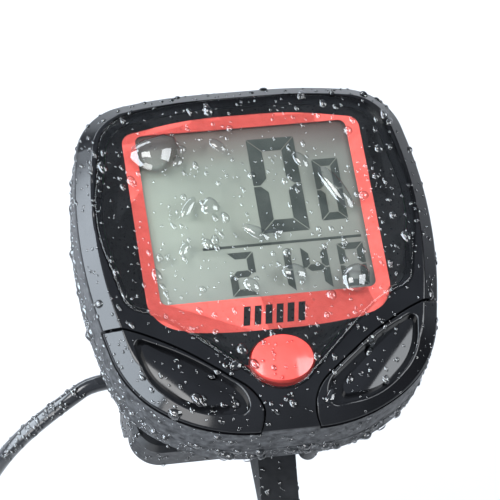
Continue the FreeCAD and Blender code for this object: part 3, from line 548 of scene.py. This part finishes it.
def scatter_drops(name, nodes, body, amounts, seed):
    """Drops of several sizes over the exposed faces of some nodes."""
    rng = random.Random(seed)
    triangles = exposed_triangles(nodes)
    areas = [area for _, _, area in triangles]
    bm = bmesh.new()
    for count, low, high, stretch in amounts:
        for corners, normal, _ in rng.choices(triangles, areas, k=count):
            a, b = rng.random(), rng.random()
            if a + b > 1:
                a, b = 1 - a, 1 - b
            centre = corners[0] + (corners[1] - corners[0]) * a + (corners[2] - corners[0]) * b
            radius = rng.uniform(low, high) * MM
            height = radius * rng.uniform(0.5, 0.8)
            add_drop(bm, centre, normal, radius, height, rng, rng.uniform(1.0, stretch))
    stage_drops(name, bm, body)


def wet_cable():
    """Drops along the upper side of the lead where it leaves the bracket."""
    rng = random.Random(CABLE_DROP_SEED)
    points = [Vector(point) for point in LEAD_ROUTE[WET_STRETCH]]
    bm = bmesh.new()
    for _ in range(CABLE_DROPS):
        index = rng.randrange(len(points) - 1)
        share = rng.random()
        before, corner = points[index], points[index + 1]
        after = points[min(index + 2, len(points) - 1)]
        # a place on the cord's curve, which runs from middle to middle and is pulled to the corner
        start = ((before + corner) / 2).lerp(corner, share)
        end = corner.lerp((corner + after) / 2, share)
        along = (end - start).normalized()
        up = (CABLE_SKY - along * along.dot(CABLE_SKY)).normalized()
        turn = math.radians(rng.uniform(-80, 80))
        normal = up * math.cos(turn) + along.cross(up) * math.sin(turn)
        radius = rng.uniform(0.15, 0.45) * MM
        foot = start.lerp(end, share) + normal * CABLE_RADIUS * 0.97
        add_drop(bm, foot, normal, radius, radius * 0.6, rng)
    stage_drops("drops_cable", bm, "bracket")


def place_drop(name, x, y, radius, stretch, lean):
    """A large drop laid on the face, at a given place in millimetres."""
    bm = bmesh.new()
    add_drop(bm, Vector((x * MM, y * MM, FACE_Z)), Vector((0, 0, 1)), radius * MM,
             radius * LARGE_DROP_HEIGHT * MM, random.Random(round(x * 10)), stretch)
    turn = Matrix.Rotation(math.radians(lean), 4, "Z")
    centre = Matrix.Translation((x * MM, y * MM, 0))
    bmesh.ops.transform(bm, matrix=centre @ turn @ centre.inverted(), verts=bm.verts)
    stage_drops(name, bm, "head")


def wet_everything():
    for drops in SMALL_DROPS:
        scatter_drops(*drops)
    wet_cable()
    for index, drop in enumerate(LARGE_DROPS):
        place_drop(f"drop_large_{index}", *drop)


# ---------------------------------------------------------------- stage
def build_floor():
    """A plain pale floor under the hanging sensor."""
    bm = bmesh.new()
    bmesh.ops.create_grid(bm, x_segments=2, y_segments=2, size=FLOOR_HALF)
    s = Surface("floor")
    s.colour(s.ramp(s.noise(6, 2), (0.3, (0.56, 0.56, 0.57)), (0.7, (0.60, 0.60, 0.61))))
    s.set(Roughness=0.7)
    floor = mesh_object("floor", bm, s.material)
    floor.location = (0, 0, CAD_LOW.z - FLOOR_GAP)


def add_light(name, direction, distance, size, power, colour):
    """Area light in a direction from the head, turned towards it."""
    data = bpy.data.lights.new(name, "AREA")
    data.shape = "RECTANGLE"
    data.size, data.size_y = size
    data.energy = power
    data.color = colour
    light = bpy.data.objects.new(name, data)
    aim = Vector(direction).normalized()
    light.location = LIGHT_TARGET + aim * distance
    light.rotation_mode = "QUATERNION"
    light.rotation_quaternion = aim.to_track_quat("Z", "Y")
    bpy.context.scene.collection.objects.link(light)


def build_world():
    """Soft bluish sky: brighter lower down and on the left."""
    world = bpy.data.worlds.new("world")
    bpy.context.scene.world = world
    world.use_nodes = True
    nodes, links = world.node_tree.nodes, world.node_tree.links
    place = nodes.new("ShaderNodeTexCoord")
    split = nodes.new("ShaderNodeSeparateXYZ")
    ramp = nodes.new("ShaderNodeValToRGB")
    for element, (position, colour) in zip(ramp.color_ramp.elements, SKY_STOPS):
        element.position = position
        element.color = (*colour, 1)
    fade = nodes.new("ShaderNodeMapRange")
    for socket, number in zip(("From Min", "From Max", "To Min", "To Max"), SKY_FADE):
        fade.inputs[socket].default_value = number
    links.new(place.outputs["Generated"], split.inputs["Vector"])
    links.new(split.outputs["Z"], ramp.inputs["Fac"])
    links.new(split.outputs["X"], fade.inputs["Value"])
    links.new(ramp.outputs["Color"], nodes["Background"].inputs["Color"])
    links.new(fade.outputs["Result"], nodes["Background"].inputs["Strength"])


def build_camera():
    """Seen from above the rider's side, a little from the left, rolled as it was held."""
    pitch, yaw, roll = (math.radians(angle) for angle in (CAMERA_PITCH, CAMERA_YAW, CAMERA_ROLL))
    back = Vector((math.sin(yaw) * math.cos(pitch), math.sin(pitch), math.cos(yaw) * math.cos(pitch)))
    right = Vector((0, 1, 0)).cross(back).normalized()
    up = back.cross(right)
    tilted_right = right * math.cos(roll) + up * math.sin(roll)
    tilted_up = up * math.cos(roll) - right * math.sin(roll)
    data = bpy.data.cameras.new("camera")
    data.sensor_width = 36
    data.lens = CAMERA_LENS
    data.clip_start = 0.02
    camera = bpy.data.objects.new("camera", data)
    turn = Matrix((tilted_right, tilted_up, back)).transposed()
    camera.matrix_world = Matrix.Translation(CAMERA_TARGET + back * CAMERA_DISTANCE) @ turn.to_4x4()
    bpy.context.scene.collection.objects.link(camera)
    bpy.context.scene.camera = camera


dress_cad_nodes()
build_display()
build_border_mark()
build_cable()
wet_everything()
build_floor()
build_world()
for light in LIGHTS:
    add_light(*light)
build_camera()
bpy.context.scene.view_settings.view_transform = "Standard"
